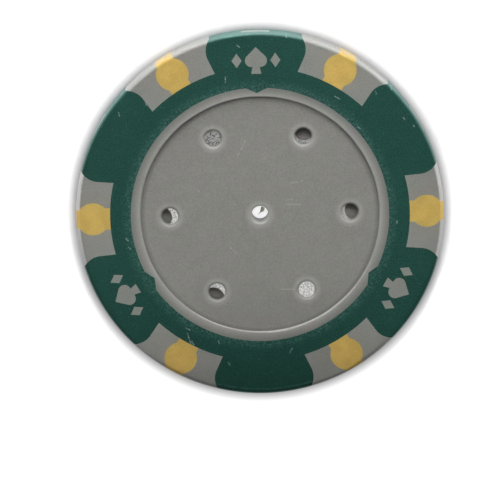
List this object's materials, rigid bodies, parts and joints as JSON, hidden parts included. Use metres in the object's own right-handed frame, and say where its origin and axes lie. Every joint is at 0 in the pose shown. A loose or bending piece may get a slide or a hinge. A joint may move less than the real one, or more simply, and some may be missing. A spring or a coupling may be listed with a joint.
{
  "type": "poker chip",
  "caption": "Round composite gaming chip with a steel slug, grey core, green lobed band, yellow edge spots and a label recess on each face.",
  "frame": {"origin": "middle of the chip's lower face", "axes": "+Z along the chip's axis through its upper face, +Y through the middle of a lobe with pips, +X through the middle of an edge spot"},
  "size_m": [0.04, 0.04, 0.0033],
  "materials": {
    "steel": "stamped sheet steel, slightly pitted",
    "grey_plastic": "fine matte moulding grain",
    "green_plastic": "fine matte moulding grain with worn rim",
    "yellow_plastic": "fine matte moulding grain"
  },
  "bodies": {
    "root": {"steel_slug": "steel", "grey_core": "grey_plastic", "green_band": "green_plastic", "edge_spot_1": "grey_plastic", "edge_spot_2": "grey_plastic", "edge_spot_3": "grey_plastic", "edge_spot_4": "grey_plastic", "edge_spot_5": "grey_plastic", "edge_spot_6": "grey_plastic", "yellow_spot_1": "yellow_plastic", "yellow_spot_2": "yellow_plastic", "yellow_spot_3": "yellow_plastic", "yellow_spot_4": "yellow_plastic", "yellow_spot_5": "yellow_plastic", "yellow_spot_6": "yellow_plastic"}
  },
  "joints": []
}
